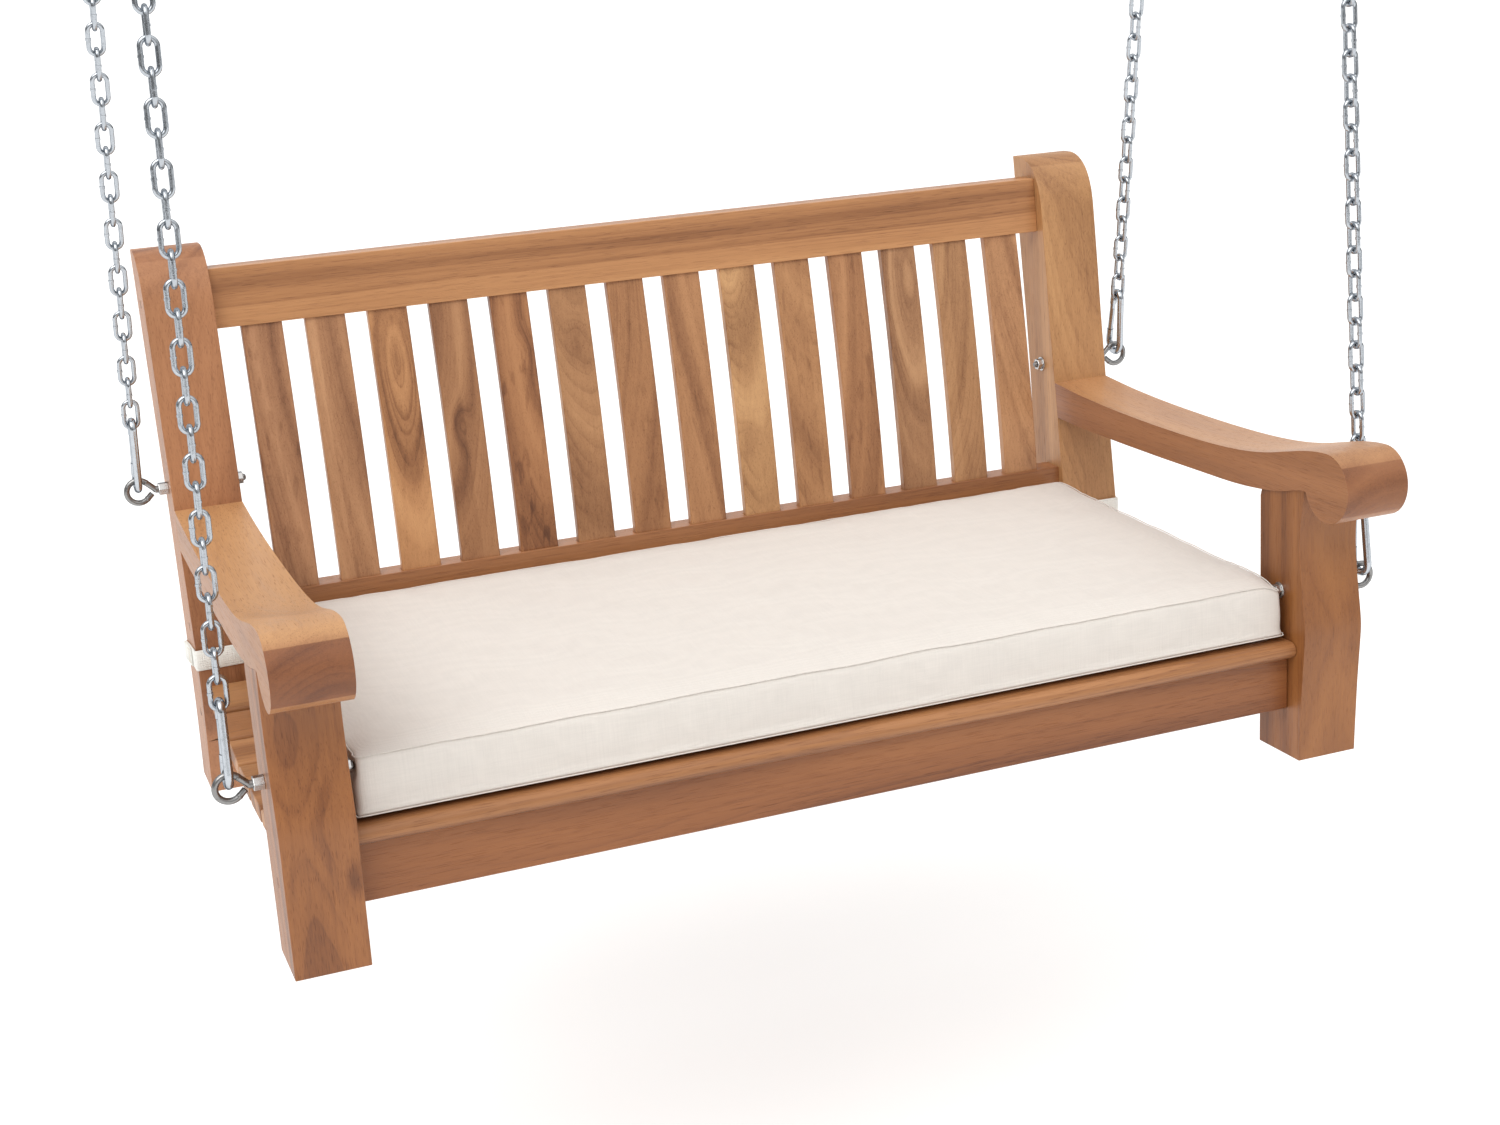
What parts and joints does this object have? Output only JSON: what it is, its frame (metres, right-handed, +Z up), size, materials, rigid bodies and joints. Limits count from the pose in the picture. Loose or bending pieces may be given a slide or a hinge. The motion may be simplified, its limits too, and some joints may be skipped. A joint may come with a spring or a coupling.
{
  "type": "porch swing seat",
  "caption": "Hanging garden bench with scrolled arms, a slatted back and a box cushion, hung by chains and snap hooks from eye bolts in its legs.",
  "frame": {"origin": "middle of the whole piece's plan, level with its lowest corner, the lower rear edge of the rear feet; the bench is stored as it hangs at rest, tipped back 5.4 degrees", "axes": "+X along the bench towards its right-hand end as seen from the front, -Y to the front where the sitter's legs are, +Z up"},
  "size_m": [1.2986, 0.7475, 1.125],
  "materials": {
    "teak": "sanded, unoiled hardwood with long grain",
    "teak_board": "sanded hardwood boards, tone varies from board to board",
    "plug": "end-grain plugs sanded flush",
    "canvas": "matt woven outdoor canvas",
    "webbing": "flat woven strap",
    "zinc": "bright zinc plate",
    "stainless": "tumbled stainless wire",
    "stainless_bright": "machined stainless"
  },
  "bodies": {
    "overhead_hooks": {"hook_front_left": "zinc", "hook_front_right": "zinc", "hook_rear_left": "zinc", "hook_rear_right": "zinc"},
    "front_left_chain": {"chain_front_left": "zinc", "snap_front_left": "zinc"},
    "bench": {"rear_post_left": "teak", "rear_post_right": "teak", "front_leg_left": "teak", "front_leg_right": "teak", "armrest_left": "teak", "armrest_right": "teak", "top_back_rail": "teak", "lower_back_rail": "teak", "back_slat_01": "teak_board", "back_slat_02": "teak_board", "back_slat_03": "teak_board", "back_slat_04": "teak_board", "back_slat_05": "teak_board", "back_slat_06": "teak_board", "back_slat_07": "teak_board", "back_slat_08": "teak_board", "back_slat_09": "teak_board", "back_slat_10": "teak_board", "back_slat_11": "teak_board", "back_slat_12": "teak_board", "back_slat_13": "teak_board", "back_slat_14": "teak_board", "front_apron": "teak", "rear_seat_rail": "teak", "side_rail_left": "teak", "side_rail_right": "teak", "centre_bearer": "teak", "seat_board_nose": "teak_board", "seat_board_1": "teak_board", "seat_board_2": "teak_board", "seat_board_3": "teak_board", "seat_board_4": "teak_board", "seat_board_5": "teak_board", "seat_board_6": "teak_board", "dowel_plugs": "plug", "eye_bolt_front_left": "stainless", "eye_bolt_front_right": "stainless", "eye_bolt_rear_left": "stainless", "eye_bolt_rear_right": "stainless", "hex_nuts": "stainless_bright", "washers": "stainless_bright", "cushion": "canvas", "strap_left": "webbing", "strap_right": "webbing"},
    "front_right_chain": {"chain_front_right": "zinc", "snap_front_right": "zinc"},
    "rear_left_chain": {"chain_rear_left": "zinc", "snap_rear_left": "zinc"},
    "rear_right_chain": {"chain_rear_right": "zinc", "snap_rear_right": "zinc"},
    "front_left_gate": {"gate_front_left": "zinc"},
    "front_right_gate": {"gate_front_right": "zinc"},
    "rear_left_gate": {"gate_rear_left": "zinc"},
    "rear_right_gate": {"gate_rear_right": "zinc"}
  },
  "joints": [
    {"name": "swing", "type": "hinge", "parent": "overhead_hooks", "child": "front_left_chain", "pos_m": [-0.61228, -0.17887, 0.99519], "axis": [1, 0, 0], "range_deg": [-8, 8]},
    {"name": "bench_hang", "type": "hinge", "parent": "front_left_chain", "child": "bench", "pos_m": [-0.633, -0.26156, 0.25805], "axis": [1, 0, 0], "range_deg": [-6.01, 6.01]},
    {"name": "front_right_chain_swing", "type": "hinge", "parent": "overhead_hooks", "child": "front_right_chain", "pos_m": [0.61228, -0.17887, 0.99519], "axis": [1, 0, 0], "range_deg": [-8.3, 8.3]},
    {"name": "rear_left_chain_swing", "type": "hinge", "parent": "overhead_hooks", "child": "rear_left_chain", "pos_m": [-0.61698, 0.22514, 0.96205], "axis": [1, 0, 0], "range_deg": [-9.95, 9.95]},
    {"name": "rear_right_chain_swing", "type": "hinge", "parent": "overhead_hooks", "child": "rear_right_chain", "pos_m": [0.61698, 0.22514, 0.96205], "axis": [1, 0, 0], "range_deg": [-9.95, 9.95]},
    {"name": "front_left_gate_open", "type": "hinge", "parent": "front_left_chain", "child": "front_left_gate", "pos_m": [-0.6314, -0.24619, 0.31431], "axis": [-0.9996, 0.0026, 0.0278], "range_deg": [0, 18], "stiffness_Nm_per_rad": 0.05},
    {"name": "front_right_gate_open", "type": "hinge", "parent": "front_right_chain", "child": "front_right_gate", "pos_m": [0.6314, -0.24619, 0.31431], "axis": [-0.9996, -0.0026, -0.0278], "range_deg": [0, 18], "stiffness_Nm_per_rad": 0.05},
    {"name": "rear_left_gate_open", "type": "hinge", "parent": "rear_left_chain", "child": "rear_left_gate", "pos_m": [-0.63137, 0.28927, 0.43827], "axis": [-0.9996, 0.0026, 0.0278], "range_deg": [0, 18], "stiffness_Nm_per_rad": 0.05},
    {"name": "rear_right_gate_open", "type": "hinge", "parent": "rear_right_chain", "child": "rear_right_gate", "pos_m": [0.63137, 0.28927, 0.43827], "axis": [-0.9996, -0.0026, -0.0278], "range_deg": [0, 18], "stiffness_Nm_per_rad": 0.05}
  ],
  "couplings": [
    {"joint": "bench_hang", "follows": "swing", "ratio": -0.7143},
    {"joint": "front_right_chain_swing", "follows": "swing", "ratio": 1},
    {"joint": "rear_left_chain_swing", "follows": "swing", "ratio": 1.2066},
    {"joint": "rear_right_chain_swing", "follows": "swing", "ratio": 1.2066}
  ]
}
